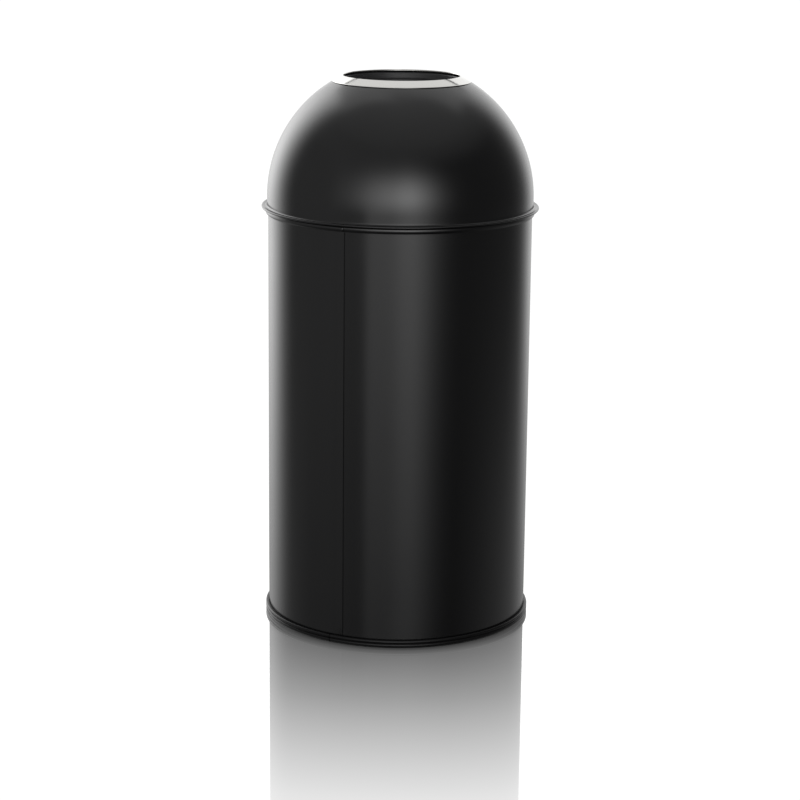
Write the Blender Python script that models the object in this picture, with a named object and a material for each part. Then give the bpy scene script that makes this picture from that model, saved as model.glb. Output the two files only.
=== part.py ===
"""Dome-top ashtray bin: a rolled steel body, a lift-off spun dome with an open mouth, and a steel liner.

Metres, +Z up. The origin is on the floor, on the bin's axis. -Y is the front.
"""

from math import atan2, cos, degrees, hypot, pi, radians, sin, sqrt, tau

import bmesh
import bpy
from mathutils import Matrix, Vector

MM = 0.001

# ---- round work ----
SEGMENTS = 40  # facets round every large turned piece; facet centres lie on the X and Y axes
ROLL_SWEEP = 285.0  # degrees that a rim's edge is rolled through, round its wire
ROLL_STEPS = 6
GAP = 0.3 * MM  # clearance between pieces that touch or are welded

# ---- body ----
BODY_RADIUS = 180.0 * MM  # outside of the rolled sheet
BODY_GAUGE = 0.8 * MM
RIM_HEIGHT = 570.6 * MM  # top of the body's rolled rim
RIM_ROLL_HEIGHT = 7.8 * MM  # outside height of the rolled rim's oval section
RIM_ROLL_REACH = 3.5 * MM  # how far the rolled rim stands out from the body's wall
SEAM_ANGLE = -23.6  # degrees from the front, towards +X
SEAM_LAP_ANGLE = 3.0  # degrees of overlap at the side seam
SEAM_STEP_ANGLE = 0.1  # the cut edge of the outer sheet

# ---- base ----
BASE_RING_HEIGHT = 11.0 * MM
BASE_RING_STEP = 4.6 * MM  # how far the ring stands out from the body
BASE_RING_INNER_HEIGHT = 8.0 * MM
BASE_RING_SOLE = 2.2 * MM  # material under the body's lower edge
BASE_RING_INNER_WALL = 2.6 * MM
BASE_RING_GROOVE_HEIGHT = 6.2 * MM
BASE_RING_GROOVE_DEPTH = 1.1 * MM
BASE_RING_JOINT_ANGLE = -29.2  # where the ring's two ends meet
BASE_RING_JOINT_WIDTH = 0.5 * MM
PAN_GAUGE = 0.8 * MM
PAN_HEIGHT = 14.0 * MM  # top of the bin's floor
PAN_BEND_RADIUS = 3.0 * MM

# ---- lid ----
DOME_OVERHANG = 1.5 * MM  # the dome's skirt beyond the body's sheet
DOME_GAUGE = 1.0 * MM
DOME_SKIRT = 14.6 * MM  # from the flange's underside up to the hemisphere's equator
FLANGE_REACH = 7.5 * MM  # the hemmed flange beyond the dome's skirt
FLANGE_HEM_RADIUS = 1.4 * MM  # outside radius of the flange's edge, which is folded back under it
FLANGE_BEND_RADIUS = 4.0 * MM
MOUTH_RADIUS = 78.4 * MM  # clear opening of the trim ring
TRIM_GAUGE = 0.8 * MM
TRIM_WIDTH = 15.2 * MM  # in plan, from the mouth to the ring's outer edge
TRIM_LIP = 2.0 * MM
LOCATING_DEPTH = 22.0 * MM  # how far the locating band reaches down into the body
LOCATING_LAP = 14.0 * MM  # how far it laps up the dome's skirt
LOCATING_GAUGE = 0.8 * MM
LOCATING_CLEARANCE = 1.2 * MM
LOCATING_JOGGLE = 1.5 * MM  # the foot of the band's joggle above the flange's underside

# ---- throat and stub grid ----
THROAT_GAUGE = 1.0 * MM
THROAT_FLANGE = 12.0 * MM  # width of the welded flange, in plan
THROAT_DEPTH = 44.0 * MM  # from the mouth down to the ledge
THROAT_DRAFT = 3.5 * MM  # how much narrower the neck is at the ledge
LEDGE_WIDTH = 6.5 * MM
GRID_GAUGE = 1.5 * MM
GRID_CLEARANCE = 1.0 * MM
GRID_HOLE_RADIUS = 6.5 * MM
GRID_INNER_PITCH = 30.0 * MM
GRID_INNER_HOLES = 6
GRID_OUTER_PITCH = 54.0 * MM
GRID_OUTER_HOLES = 12
PULL_RADIUS = 8.0 * MM
PULL_HEIGHT = 16.0 * MM
PULL_STEM_RADIUS = 2.5 * MM
PULL_NUT_HEIGHT = 3.2 * MM
PULL_NUT_RADIUS = 4.6 * MM

# ---- liner ----
LINER_SPACE = 16.4 * MM  # between the liner's wall and the body's outside, for the rolled rim and the hand
LINER_GAUGE = 0.6 * MM
LINER_DROP = 70.4 * MM  # from the body's rim down to the liner's
LINER_ROLL_RADIUS = 3.0 * MM
LINER_BASE_INSET = 6.0 * MM  # the liner's bottom above its standing edge
LINER_BASE_FLANGE = 12.0 * MM

# ---- carrying handle of the liner ----
BAIL_WIRE_RADIUS = 2.5 * MM
BAIL_END_LENGTH = 12.0 * MM
GRIP_RADIUS = 6.0 * MM
GRIP_ANGLE = 34.0  # degrees of the bail's half circle that the grip covers
EAR_GAUGE = 1.5 * MM
EAR_WIDTH = 20.0 * MM
EAR_DROP = 30.0 * MM  # from the pivot to the ear's lower end
PIVOT_CLEARANCE = 0.3 * MM
RIVET_RADIUS = 1.9 * MM
RIVET_HEAD_RADIUS = 3.8 * MM
RIVET_HEAD_HEIGHT = 1.4 * MM
RIVET_PITCH = 11.0 * MM

# ---- worked out from the sizes above ----
FACET = pi / SEGMENTS
FLOOR_HEIGHT = PAN_HEIGHT
SHELL_FOOT = BASE_RING_SOLE + GAP
BODY_INNER = BODY_RADIUS - BODY_GAUGE
BASE_RING_RADIUS = BODY_RADIUS + BASE_RING_STEP
DOME_RADIUS = BODY_RADIUS + DOME_OVERHANG
FLANGE_RADIUS = DOME_RADIUS + FLANGE_REACH
LINER_RADIUS = BODY_RADIUS - LINER_SPACE
FLANGE_UNDERSIDE = RIM_HEIGHT + GAP
EQUATOR_HEIGHT = FLANGE_UNDERSIDE + DOME_SKIRT
DOME_INNER = DOME_RADIUS - DOME_GAUGE
TRIM_RADIUS = DOME_RADIUS + GAP + TRIM_GAUGE  # radius of the sphere that the trim's face lies on
TOP_HEIGHT = EQUATOR_HEIGHT + sqrt(TRIM_RADIUS**2 - MOUTH_RADIUS**2)
DOME_CUT_RADIUS = MOUTH_RADIUS + TRIM_GAUGE + GAP
LEDGE_TOP = TOP_HEIGHT - THROAT_DEPTH
NECK_TOP_RADIUS = MOUTH_RADIUS + THROAT_GAUGE / 2
NECK_FOOT_RADIUS = NECK_TOP_RADIUS - THROAT_DRAFT
LEDGE_HOLE_RADIUS = NECK_FOOT_RADIUS - LEDGE_WIDTH
GRID_RADIUS = NECK_FOOT_RADIUS - THROAT_GAUGE / 2 - GRID_CLEARANCE
GRID_FLOOR = LEDGE_TOP + GAP
LINER_FOOT = FLOOR_HEIGHT + GAP
LINER_RIM = RIM_HEIGHT - LINER_DROP
LINER_INNER = LINER_RADIUS - LINER_GAUGE
BAIL_RADIUS = LINER_INNER + LINER_ROLL_RADIUS
PIVOT_HEIGHT = LINER_RIM + GAP + GRIP_RADIUS
EAR_FACE = LINER_INNER * cos(FACET) - GAP  # the ear's outer face, on the flat of a facet

BLACK_PAINT = ((0.012, 0.012, 0.013, 1.0), 0.36, 0.0)
STAINLESS = ((0.62, 0.62, 0.63, 1.0), 0.22, 1.0)
GALVANISED = ((0.45, 0.47, 0.49, 1.0), 0.45, 1.0)
BLACK_PLASTIC = ((0.016, 0.016, 0.017, 1.0), 0.5, 0.0)
WIRE_STEEL = ((0.55, 0.56, 0.57, 1.0), 0.35, 1.0)


# ---- outlines: lists of (radius, height) ----
def arc(centre_r, centre_z, radius, start, end, steps):
    """Points round a centre, from the start angle to the end angle in degrees; 0 is outwards and 90 up."""
    turns = (radians(start + (end - start) * i / steps) for i in range(steps + 1))
    return [(centre_r + radius * cos(t), centre_z + radius * sin(t)) for t in turns]


def sheet(path, gauge):
    """The closed outline of a bent sheet: the path is its middle line, and each side is half a gauge away."""
    count = len(path)
    left, right = [], []
    for i, (r, z) in enumerate(path):
        before = path[max(i - 1, 0)]
        after = path[min(i + 1, count - 1)]
        into = Vector((r - before[0], z - before[1]))
        out = Vector((after[0] - r, after[1] - z))
        into = (into if i else out).normalized()
        out = (out if i < count - 1 else into).normalized()
        mitre = (into + out).normalized()
        reach = gauge / 2 / max(mitre.dot(into), 0.5)
        left.append((r - mitre.y * reach, z + mitre.x * reach))
        right.append((r + mitre.y * reach, z - mitre.x * reach))
    return left + right[::-1]


def sphere_arc(radius, start_r, end_r, steps):
    """Points of the dome's sphere, or of one concentric with it, between two distances from the axis."""
    start, end = (degrees(atan2(sqrt(radius**2 - r**2), r)) for r in (start_r, end_r))
    return arc(0.0, EQUATOR_HEIGHT, radius, start, end, steps)


# ---- pieces ----
def finish_object(name, mesh, finish):
    """Links the mesh as a named object with its own material, shaded smooth across its facets."""
    colour, roughness, metallic = finish
    material = bpy.data.materials.new(name)
    material.use_nodes = True
    shader = material.node_tree.nodes["Principled BSDF"]
    shader.inputs["Base Color"].default_value = colour
    shader.inputs["Roughness"].default_value = roughness
    shader.inputs["Metallic"].default_value = metallic
    material.diffuse_color = colour
    mesh.materials.append(material)
    mesh.shade_smooth()
    mesh.set_sharp_from_angle(angle=radians(35))
    obj = bpy.data.objects.new(name, mesh)
    bpy.context.scene.collection.objects.link(obj)
    return obj


def turned_mesh(name, outline, segments):
    """Spins an outline round Z. An outline that starts and ends on the axis makes a disc or a plug."""
    bm = bmesh.new()
    turn = Matrix.Rotation(pi / segments, 3, "Z")
    points = [bm.verts.new(turn @ Vector((r, 0.0, z))) for r, z in outline]
    edges = [bm.edges.new(pair) for pair in zip(points, points[1:])]
    if outline[0][0] > 0.0:
        edges.append(bm.edges.new((points[-1], points[0])))
    bmesh.ops.spin(
        bm, geom=points + edges, cent=(0, 0, 0), axis=(0, 0, 1), angle=tau, steps=segments, use_merge=True
    )
    bmesh.ops.remove_doubles(bm, verts=bm.verts, dist=0.001 * MM)
    bmesh.ops.recalc_face_normals(bm, faces=bm.faces)
    mesh = bpy.data.meshes.new(name)
    bm.to_mesh(mesh)
    bm.free()
    return mesh


def turned(name, outline, finish, segments=SEGMENTS):
    return finish_object(name, turned_mesh(name, outline, segments), finish)


def plate_mesh(name, outline, thickness):
    """A flat plate: the outline is a list of (y, z) points, and the plate grows from x = 0 towards +X."""
    bm = bmesh.new()
    face = bm.faces.new([bm.verts.new((0.0, y, z)) for y, z in outline])
    raised = bmesh.ops.extrude_face_region(bm, geom=[face])
    moved = [v for v in raised["geom"] if isinstance(v, bmesh.types.BMVert)]
    bmesh.ops.translate(bm, verts=moved, vec=(thickness, 0.0, 0.0))
    bmesh.ops.recalc_face_normals(bm, faces=bm.faces)
    mesh = bpy.data.meshes.new(name)
    bm.to_mesh(mesh)
    bm.free()
    return mesh


def drill(obj, radius, length, centre, along, sides=12):
    """Cuts a round hole with a hidden cutter, whose flats lie outside the stated radius."""
    bm = bmesh.new()
    bmesh.ops.create_cone(
        bm, cap_ends=True, segments=sides, radius1=radius / cos(pi / sides), radius2=radius / cos(pi / sides),
        depth=length,
    )
    mesh = bpy.data.meshes.new(obj.name + "_drill")
    bm.to_mesh(mesh)
    bm.free()
    turn = Vector(along).to_track_quat("Z", "Y").to_matrix().to_4x4()
    return cut(obj, mesh, Matrix.Translation(centre) @ turn)


def cut(obj, mesh, place):
    """Takes a hidden cutter's shape away from an object."""
    cutter = bpy.data.objects.new(mesh.name, mesh)
    cutter.matrix_world = place
    cutter.hide_render = True
    cutter.display_type = "WIRE"
    bpy.context.scene.collection.objects.link(cutter)
    cutting = obj.modifiers.new("cut", "BOOLEAN")
    cutting.operation = "DIFFERENCE"
    cutting.object = cutter
    return cutter


def heading(angle):
    """The compass direction at an angle in degrees from the front, towards +X."""
    return Vector((sin(radians(angle)), -cos(radians(angle)), 0.0))


# ---- body ----
def oval(centre_r, centre_z, half_width, half_height, start, end, steps):
    """Part of an oval: a round arc, stretched along the two axes."""
    return [
        (centre_r + half_width * r, centre_z + half_height * z) for r, z in arc(0, 0, 1.0, start, end, steps)
    ]


def roll_section(wall_middle, top, width, height, gauge):
    """The centre and the two half sizes of the middle line of a rim's roll, from its outside sizes."""
    half_width, half_height = (width - gauge) / 2, (height - gauge) / 2
    return wall_middle + half_width, top - height / 2, half_width, half_height


def rolled_top(wall_middle, top, width, height, gauge):
    """A wall's top edge rolled outwards round a wire, as a path that carries on from the wall."""
    section = roll_section(wall_middle, top, width, height, gauge)
    return oval(*section, 180, 180 - ROLL_SWEEP, ROLL_STEPS)


def wire_in_roll(name, wall_middle, top, width, height, gauge):
    """The hoop of wire that a rim is rolled round. It clears the flats inside the roll."""
    centre_r, centre_z, half_width, half_height = roll_section(wall_middle, top, width, height, gauge)
    flat = cos(radians(ROLL_SWEEP / ROLL_STEPS / 2))
    wire_width = half_width * flat - gauge / 2 - GAP
    wire_height = wire_width + (half_height - half_width) * flat**2
    turned(name, oval(centre_r, centre_z, wire_width, wire_height, 0, 300, 5), WIRE_STEEL)


def lap_seam(mesh, outer_radius, gauge, low, high):
    """Raises the outer sheet over the seam: it ramps up by one gauge and drops at its cut edge."""
    start = SEAM_ANGLE - SEAM_LAP_ANGLE
    ends = (start, SEAM_ANGLE, SEAM_ANGLE + SEAM_STEP_ANGLE)
    bm = bmesh.new()
    bm.from_mesh(mesh)
    for angle in ends:
        across = heading(angle + 90)
        bmesh.ops.bisect_plane(
            bm, geom=bm.verts[:] + bm.edges[:] + bm.faces[:], plane_co=(0, 0, 0), plane_no=across, dist=1e-7
        )
    for level in (low, high):
        bmesh.ops.bisect_plane(
            bm,
            geom=bm.verts[:] + bm.edges[:] + bm.faces[:],
            plane_co=(0, 0, level),
            plane_no=(0, 0, 1),
            dist=1e-7,
        )
    edge_of_lap = SEAM_ANGLE + SEAM_STEP_ANGLE / 2
    for vert in bm.verts:
        radius = hypot(vert.co.x, vert.co.y)
        turn = degrees(atan2(vert.co.x, -vert.co.y))
        on_outside = radius > outer_radius * cos(FACET) - gauge / 2
        if on_outside and low < vert.co.z < high and start < turn < edge_of_lap:
            raised = gauge * min(1.0, (turn - start) / SEAM_LAP_ANGLE)
            vert.co.xy *= (radius + raised) / radius
    bm.to_mesh(mesh)
    bm.free()


def make_body():
    middle = BODY_RADIUS - BODY_GAUGE / 2
    width = BODY_GAUGE + RIM_ROLL_REACH
    roll = rolled_top(middle, RIM_HEIGHT, width, RIM_ROLL_HEIGHT, BODY_GAUGE)
    seam_low = BASE_RING_HEIGHT + 2 * GAP
    seam_high = RIM_HEIGHT - RIM_ROLL_HEIGHT - 2 * GAP
    levels = [SHELL_FOOT, seam_low, seam_low + GAP, seam_high - GAP, seam_high]
    path = [(middle, level) for level in levels] + roll
    shell = turned("body_shell", sheet(path, BODY_GAUGE), BLACK_PAINT)
    lap_seam(shell.data, BODY_RADIUS, BODY_GAUGE, seam_low + GAP / 2, seam_high - GAP / 2)
    wire_in_roll("rim_wire", middle, RIM_HEIGHT, width, RIM_ROLL_HEIGHT, BODY_GAUGE)


def make_base():
    flange = BODY_INNER - GAP - PAN_GAUGE / 2
    level = PAN_HEIGHT - PAN_GAUGE / 2
    bend = arc(flange - PAN_BEND_RADIUS, level - PAN_BEND_RADIUS, PAN_BEND_RADIUS, 0, 90, 3)
    half = sheet([(flange, SHELL_FOOT)] + bend + [(0.0, level)], PAN_GAUGE)
    count = len(half) // 2
    turned("base_pan", half[count:] + half[:count], BLACK_PAINT)

    slot_outer = BODY_RADIUS + GAP
    slot_inner = BODY_INNER - PAN_GAUGE - 2 * GAP
    groove = BASE_RING_RADIUS - BASE_RING_GROOVE_DEPTH
    edge = BASE_RING_GROOVE_DEPTH
    crown = BASE_RING_HEIGHT - BASE_RING_GROOVE_HEIGHT
    outline = [
        (slot_inner - BASE_RING_INNER_WALL, 0.0),
        (BASE_RING_RADIUS - edge, 0.0),
        (BASE_RING_RADIUS, edge),
        (BASE_RING_RADIUS, BASE_RING_GROOVE_HEIGHT - edge),
        (groove, BASE_RING_GROOVE_HEIGHT),
        (BASE_RING_RADIUS, BASE_RING_GROOVE_HEIGHT + edge),
        (BASE_RING_RADIUS, BASE_RING_GROOVE_HEIGHT + crown / 2),
        (slot_outer + edge / 2, BASE_RING_HEIGHT),
        (slot_outer, BASE_RING_HEIGHT),
        (slot_outer, BASE_RING_SOLE),
        (slot_inner, BASE_RING_SOLE),
        (slot_inner, BASE_RING_INNER_HEIGHT),
        (slot_inner - BASE_RING_INNER_WALL, BASE_RING_INNER_HEIGHT),
    ]
    ring = turned("base_ring", outline, BLACK_PLASTIC)
    wall = BASE_RING_RADIUS - slot_inner + BASE_RING_INNER_WALL
    blade = plate_mesh(
        "joint_blade",
        [(-wall, -wall), (wall, -wall), (wall, BASE_RING_HEIGHT + wall), (-wall, BASE_RING_HEIGHT + wall)],
        BASE_RING_JOINT_WIDTH,
    )
    middle = BASE_RING_RADIUS - wall / 2
    across = Matrix.Rotation(radians(BASE_RING_JOINT_ANGLE), 4, "Z")
    cut(ring, blade, across @ Matrix.Translation((0.0, -middle, 0.0)))


# ---- lid ----
def make_dome():
    wall = DOME_RADIUS - DOME_GAUGE / 2
    fold = FLANGE_HEM_RADIUS - DOME_GAUGE / 2
    plate = FLANGE_UNDERSIDE + FLANGE_HEM_RADIUS + fold
    brow = max(MOUTH_RADIUS + TRIM_WIDTH, DOME_CUT_RADIUS + THROAT_FLANGE)
    # The sheet is cut square to its own slope, so its inner corner stands nearer the mouth than its middle.
    edge = DOME_CUT_RADIUS + DOME_GAUGE / 2 * DOME_CUT_RADIUS / wall
    crown = sphere_arc(wall, edge, brow, 2) + sphere_arc(wall, brow, wall, 7)[1:]
    bend = arc(wall + FLANGE_BEND_RADIUS, plate + FLANGE_BEND_RADIUS, FLANGE_BEND_RADIUS, 180, 270, 3)
    hem = arc(FLANGE_RADIUS - FLANGE_HEM_RADIUS, plate - fold, fold, 90, -90, 4)
    hem_end = (wall, FLANGE_UNDERSIDE + DOME_GAUGE / 2)
    turned("dome_shell", sheet(crown + bend + hem + [hem_end], DOME_GAUGE), BLACK_PAINT)


def make_locating_band():
    """A steel band inside the skirt. Its joggled lower half drops into the body and centres the lid."""
    upper = DOME_INNER - GAP - LOCATING_GAUGE / 2
    lower = BODY_INNER - LOCATING_CLEARANCE - LOCATING_GAUGE / 2
    joggle = FLANGE_UNDERSIDE + LOCATING_JOGGLE
    path = [
        (upper, FLANGE_UNDERSIDE + LOCATING_LAP),
        (upper, joggle + (upper - lower)),
        (lower, joggle),
        (lower, RIM_HEIGHT - LOCATING_DEPTH),
    ]
    turned("locating_band", sheet(path, LOCATING_GAUGE), BLACK_PAINT)


def make_trim_ring():
    """A polished ring that lies on the dome round the mouth and turns down over its cut edge."""
    middle = TRIM_RADIUS - TRIM_GAUGE / 2
    inner = MOUTH_RADIUS + TRIM_GAUGE / 2
    face = sphere_arc(middle, MOUTH_RADIUS + TRIM_WIDTH, inner, 3)
    turned("trim_ring", sheet(face + [(inner, face[-1][1] - TRIM_LIP)], TRIM_GAUGE), STAINLESS)


def make_throat():
    """A drawn neck welded under the dome. Its foot is turned in as a ledge that carries the stub grid."""
    under = DOME_INNER - GAP - THROAT_GAUGE / 2
    flange = sphere_arc(under, DOME_CUT_RADIUS + THROAT_FLANGE, DOME_CUT_RADIUS + THROAT_GAUGE, 2)
    ledge = LEDGE_TOP - THROAT_GAUGE / 2
    neck_top = flange[-1][1] - TRIM_LIP
    path = flange + [(NECK_TOP_RADIUS, neck_top), (NECK_FOOT_RADIUS, ledge), (LEDGE_HOLE_RADIUS, ledge)]
    turned("throat", sheet(path, THROAT_GAUGE), BLACK_PAINT)


def make_stub_grid():
    """A perforated plate for stubbing out. Ends and ash drop through it into the liner, and it lifts out."""
    edge = [(0.0, GRID_FLOOR), (GRID_RADIUS, GRID_FLOOR), (GRID_RADIUS, GRID_FLOOR + GRID_GAUGE)]
    grid = turned("stub_grid", edge + [(0.0, GRID_FLOOR + GRID_GAUGE)], STAINLESS, 36)
    rows = ((GRID_INNER_PITCH, GRID_INNER_HOLES), (GRID_OUTER_PITCH, GRID_OUTER_HOLES))
    for pitch, count in rows:
        for i in range(count):
            place = heading(360 * i / count) * pitch + Vector((0.0, 0.0, GRID_FLOOR + GRID_GAUGE / 2))
            drill(grid, GRID_HOLE_RADIUS, 4 * GRID_GAUGE, place, (0, 0, 1), 10)
    drill(grid, PULL_STEM_RADIUS + GAP, 4 * GRID_GAUGE, (0, 0, GRID_FLOOR + GRID_GAUGE / 2), (0, 0, 1), 10)

    seat = GRID_FLOOR + GRID_GAUGE + GAP
    waist = PULL_RADIUS * 0.5
    stem_foot = GRID_FLOOR - PULL_NUT_HEIGHT
    outline = [
        (0.0, stem_foot),
        (PULL_STEM_RADIUS, stem_foot),
        (PULL_STEM_RADIUS, seat),
        (PULL_RADIUS * 0.75, seat),
        (waist, seat + PULL_HEIGHT * 0.35),
        (PULL_RADIUS, seat + PULL_HEIGHT * 0.7),
        (PULL_RADIUS * 0.8, seat + PULL_HEIGHT * 0.93),
        (0.0, seat + PULL_HEIGHT),
    ]
    turned("grid_pull", outline, STAINLESS, 12)
    bore = (PULL_STEM_RADIUS + GAP) / cos(pi / 6)
    nut_top = GRID_FLOOR - GAP
    nut = [(bore, nut_top - PULL_NUT_HEIGHT), (PULL_NUT_RADIUS, nut_top - PULL_NUT_HEIGHT)]
    turned("pull_nut", nut + [(PULL_NUT_RADIUS, nut_top), (bore, nut_top)], STAINLESS, 6)


# ---- liner ----
def make_liner():
    middle = LINER_RADIUS - LINER_GAUGE / 2
    size = 2 * LINER_ROLL_RADIUS
    roll = rolled_top(middle, LINER_RIM, size, size, LINER_GAUGE)
    wall = turned("liner_wall", sheet([(middle, LINER_FOOT)] + roll, LINER_GAUGE), GALVANISED)
    wire_in_roll("liner_rim_wire", middle, LINER_RIM, size, size, LINER_GAUGE)

    flange = LINER_INNER - GAP - LINER_GAUGE / 2
    level = LINER_FOOT + LINER_BASE_INSET
    path = [(flange, level + LINER_BASE_FLANGE), (flange, level + PAN_BEND_RADIUS)]
    path += arc(flange - PAN_BEND_RADIUS, level + PAN_BEND_RADIUS, PAN_BEND_RADIUS, 0, -90, 2)[1:]
    half = sheet(path + [(0.0, level)], LINER_GAUGE)
    count = len(half) // 2
    turned("liner_base", half[count:] + half[:count], GALVANISED)

    for side, name in ((-1, "left"), (1, "right")):
        make_ear(name, side, wall)


def make_ear(name, side, wall):
    """A pivot plate riveted inside the liner's wall, standing above its rim."""
    half = EAR_WIDTH / 2
    crown = arc(0.0, PIVOT_HEIGHT, half, 0, 180, 8)
    foot = PIVOT_HEIGHT - EAR_DROP
    outline = [(-half, foot), (half, foot)] + crown
    ear = finish_object("ear_" + name, plate_mesh("ear_" + name, outline, EAR_GAUGE), GALVANISED)
    ear.location.x = EAR_FACE - EAR_GAUGE if side > 0 else -EAR_FACE
    middle = side * (EAR_FACE - EAR_GAUGE / 2)
    drill(ear, BAIL_WIRE_RADIUS + PIVOT_CLEARANCE, 8 * EAR_GAUGE, (middle, 0, PIVOT_HEIGHT), (1, 0, 0))
    rivet_height = foot + half
    inside = EAR_FACE - EAR_GAUGE - GAP
    outside = LINER_RADIUS * cos(FACET) + GAP
    for offset, which in ((-0.5, "front"), (0.5, "rear")):
        place = (middle, offset * RIVET_PITCH, rivet_height)
        drill(ear, RIVET_RADIUS + GAP, 8 * EAR_GAUGE, place, (1, 0, 0))
        drill(wall, RIVET_RADIUS + GAP, 8 * EAR_GAUGE, place, (1, 0, 0))
        outline = [
            (0.0, outside + RIVET_HEAD_HEIGHT),
            (RIVET_HEAD_RADIUS * 0.6, outside + RIVET_HEAD_HEIGHT),
            (RIVET_HEAD_RADIUS, outside),
            (RIVET_RADIUS, outside),
            (RIVET_RADIUS, inside),
            (RIVET_HEAD_RADIUS, inside),
            (RIVET_HEAD_RADIUS * 0.6, inside - RIVET_HEAD_HEIGHT),
            (0.0, inside - RIVET_HEAD_HEIGHT),
        ]
        rivet = turned(f"rivet_{name}_{which}", outline, GALVANISED, 10)
        rivet.rotation_euler.y = side * pi / 2
        rivet.location = (0.0, offset * RIVET_PITCH, rivet_height)


def bail_curve(name, angles, wire_radius, ends, finish):
    """A wire bent to part of the bail's circle, level with the pivots, with optional turned-in ends."""
    points = [Vector((BAIL_RADIUS * cos(t), -BAIL_RADIUS * sin(t), 0.0)) for t in angles]
    if ends:
        reach = Vector((BAIL_END_LENGTH, 0.0, 0.0))
        points = [points[0] - reach] + points + [points[-1] + reach]
    curve = bpy.data.curves.new(name, "CURVE")
    curve.dimensions = "3D"
    curve.bevel_depth = wire_radius
    curve.bevel_resolution = 2
    curve.use_fill_caps = True
    spline = curve.splines.new("POLY")
    spline.points.add(len(points) - 1)
    for slot, point in zip(spline.points, points):
        slot.co = (*point, 1.0)
    shaped = bpy.data.objects.new(name, curve)
    bpy.context.scene.collection.objects.link(shaped)
    bpy.context.view_layer.update()
    mesh = bpy.data.meshes.new_from_object(shaped.evaluated_get(bpy.context.evaluated_depsgraph_get()))
    bpy.data.objects.remove(shaped)
    mesh.name = name
    mesh.materials.clear()
    bm = bmesh.new()
    bm.from_mesh(mesh)
    bmesh.ops.remove_doubles(bm, verts=bm.verts, dist=0.001 * MM)
    bmesh.ops.recalc_face_normals(bm, faces=bm.faces)
    bm.to_mesh(mesh)
    bm.free()
    return mesh if finish is None else finish_object(name, mesh, finish)


def make_bail():
    """The carrying handle. It lies forward on the liner's rim, and its empty stands on the pivot axis."""
    pivot = bpy.data.objects.new("bail_pivot", None)
    pivot.location = (0.0, 0.0, PIVOT_HEIGHT)
    bpy.context.scene.collection.objects.link(pivot)
    wire = bail_curve("bail_wire", [pi * i / 36 for i in range(37)], BAIL_WIRE_RADIUS, True, WIRE_STEEL)
    half = radians(GRIP_ANGLE) / 2
    along = [pi / 2 - half + 2 * half * i / 8 for i in range(9)]
    grip = bail_curve("bail_grip", along, GRIP_RADIUS, False, BLACK_PLASTIC)
    bore_radius = BAIL_WIRE_RADIUS + 2 * GAP
    bore = bail_curve("grip_bore", [pi * i / 36 for i in range(9, 28)], bore_radius, False, None)
    cutter = cut(grip, bore, Matrix.Identity(4))
    for piece in (wire, grip, cutter):
        piece.parent = pivot


def main():
    for obj in list(bpy.data.objects):
        bpy.data.objects.remove(obj)
    make_body()
    make_base()
    make_dome()
    make_locating_band()
    make_trim_ring()
    make_throat()
    make_stub_grid()
    make_liner()
    make_bail()


main()
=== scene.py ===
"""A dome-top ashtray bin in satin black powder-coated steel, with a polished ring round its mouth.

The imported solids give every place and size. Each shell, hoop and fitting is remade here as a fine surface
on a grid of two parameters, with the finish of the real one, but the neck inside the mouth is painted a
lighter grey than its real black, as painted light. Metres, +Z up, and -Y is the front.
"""

from math import cos, pi, radians, sqrt

import bmesh
import bpy
import numpy as np
from mathutils import Euler, Matrix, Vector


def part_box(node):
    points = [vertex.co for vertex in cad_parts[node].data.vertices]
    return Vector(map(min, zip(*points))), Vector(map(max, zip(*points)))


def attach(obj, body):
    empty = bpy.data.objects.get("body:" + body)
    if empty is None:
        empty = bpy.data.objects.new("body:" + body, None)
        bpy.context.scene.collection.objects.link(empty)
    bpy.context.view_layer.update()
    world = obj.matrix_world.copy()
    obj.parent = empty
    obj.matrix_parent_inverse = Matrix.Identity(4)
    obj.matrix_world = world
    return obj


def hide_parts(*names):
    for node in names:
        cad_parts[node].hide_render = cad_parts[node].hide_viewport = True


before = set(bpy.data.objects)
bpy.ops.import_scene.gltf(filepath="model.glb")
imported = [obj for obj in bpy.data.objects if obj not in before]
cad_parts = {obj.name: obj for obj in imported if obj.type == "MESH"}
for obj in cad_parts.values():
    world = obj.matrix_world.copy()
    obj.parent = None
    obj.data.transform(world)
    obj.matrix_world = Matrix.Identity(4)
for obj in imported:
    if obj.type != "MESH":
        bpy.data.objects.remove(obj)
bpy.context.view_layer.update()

MM = 0.001

# ---- sizes that the solids were turned with ----
CAD_FACETS = 40  # the solids' large turned pieces have this many facets
GRID_FACETS = 36
GAP = 0.3 * MM  # between pieces that touch or are welded
BODY_GAUGE = 0.8 * MM
DOME_GAUGE = 1.0 * MM
THROAT_GAUGE = 1.0 * MM
LINER_GAUGE = 0.6 * MM
TRIM_GAUGE = 0.8 * MM
GRID_GAUGE = 1.5 * MM
EAR_GAUGE = 1.5 * MM
ROLL_SWEEP = 285.0  # degrees that a rim is rolled through, round its wire
FLANGE_HEM_RADIUS = 1.4 * MM  # of the flange's edge, which is folded back under it
FLANGE_BEND_RADIUS = 3.2 * MM
FLANGE_PINCH = 0.8 * MM  # how far the flange behind its folded edge lies below the edge's top
RIM_ROLL_HEIGHT = 7.8 * MM  # of the body's rim, whose section is an oval
DOME_SKIRT = 14.6 * MM  # the dome's straight part, from the flange's underside up
TRIM_WIDTH = 15.2 * MM  # in plan, from the mouth to the ring's outer edge
TRIM_DROP = 2.6 * MM  # how far the ring's lip reaches down into the mouth
THROAT_BEND_RADIUS = 2.0 * MM  # where the neck turns into its welded flange
LEDGE_BEND_RADIUS = 1.6 * MM
LEDGE_WIDTH = 6.5 * MM
GRID_CLEARANCE = 1.0 * MM  # between the stub grid and the neck
LOCATING_CLEARANCE = 1.2 * MM
LOCATING_JOGGLE = 1.5 * MM  # above the flange's underside
PAN_BEND_RADIUS = 3.0 * MM
WIRE_RADIUS = 2.5 * MM  # the bail's wire
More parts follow.
